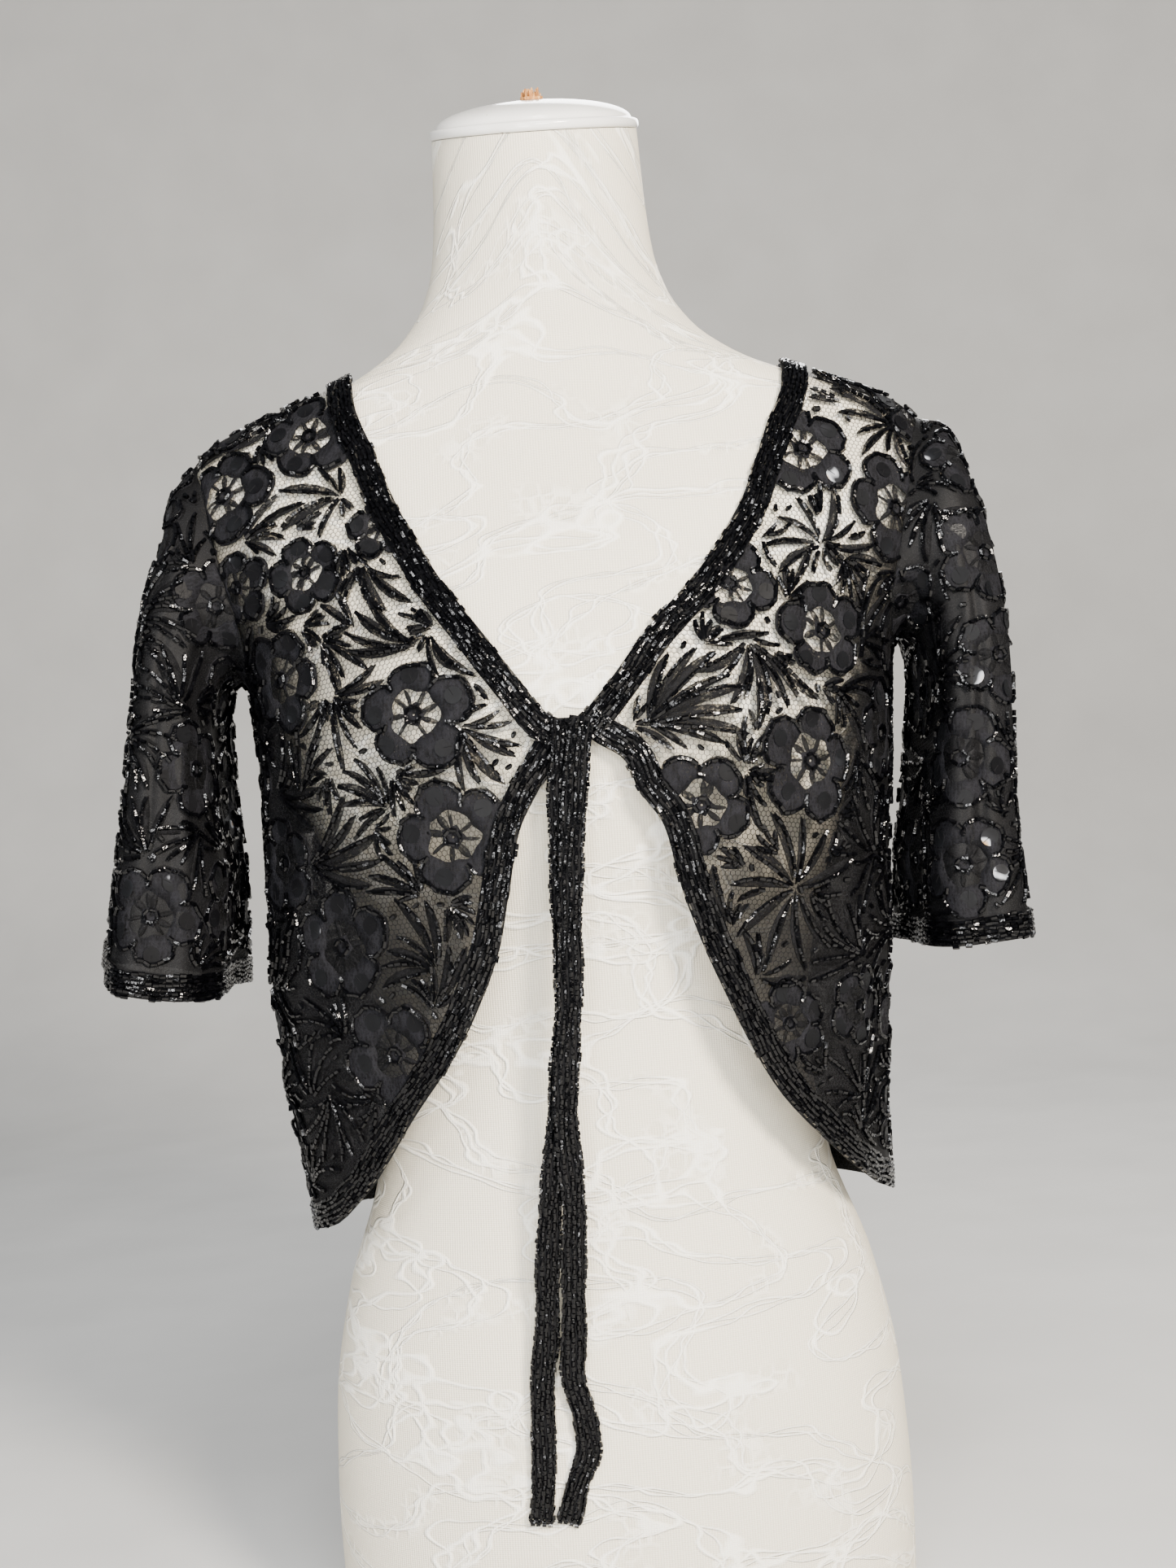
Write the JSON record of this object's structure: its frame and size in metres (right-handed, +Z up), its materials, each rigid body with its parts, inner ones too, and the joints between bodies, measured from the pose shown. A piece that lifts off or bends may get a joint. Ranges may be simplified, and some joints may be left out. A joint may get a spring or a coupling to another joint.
{
  "type": "beaded shrug on a limbless dress form",
  "caption": "Short open lace shrug with beaded edges, short wide sleeves and hanging beaded ties, resting on a limbless dress form with a domed neck cap.",
  "frame": {"origin": "middle of the form's flat base, on the surface it stands on, below the middle of the neck", "axes": "+Z up, the front faces -Y, +X to the right as seen from the front"},
  "size_m": [0.4769, 0.2321, 0.7789],
  "materials": {
    "form_cover": "ivory stretch lace over woven cotton",
    "cap_plastic": "moulded, gloss white",
    "pale_wood": "raw, broken end",
    "black_lace": "fine black net with dense flowers and leaves, sewn with beads",
    "glass_beads": "rows of glossy black glass beads on black tape"
  },
  "bodies": {
    "root": {"form_torso": "form_cover", "form_cap": "cap_plastic", "form_stub": "pale_wood", "front_left": "black_lace", "front_right": "black_lace", "back": "black_lace", "sleeve_left": "black_lace", "sleeve_right": "black_lace", "edging_front_left": "glass_beads", "edging_front_right": "glass_beads", "edging_back_neck": "glass_beads", "edging_back_hem": "glass_beads", "edging_cuff_left": "glass_beads", "edging_cuff_right": "glass_beads", "tie_left": "glass_beads", "tie_right": "glass_beads"}
  },
  "joints": []
}
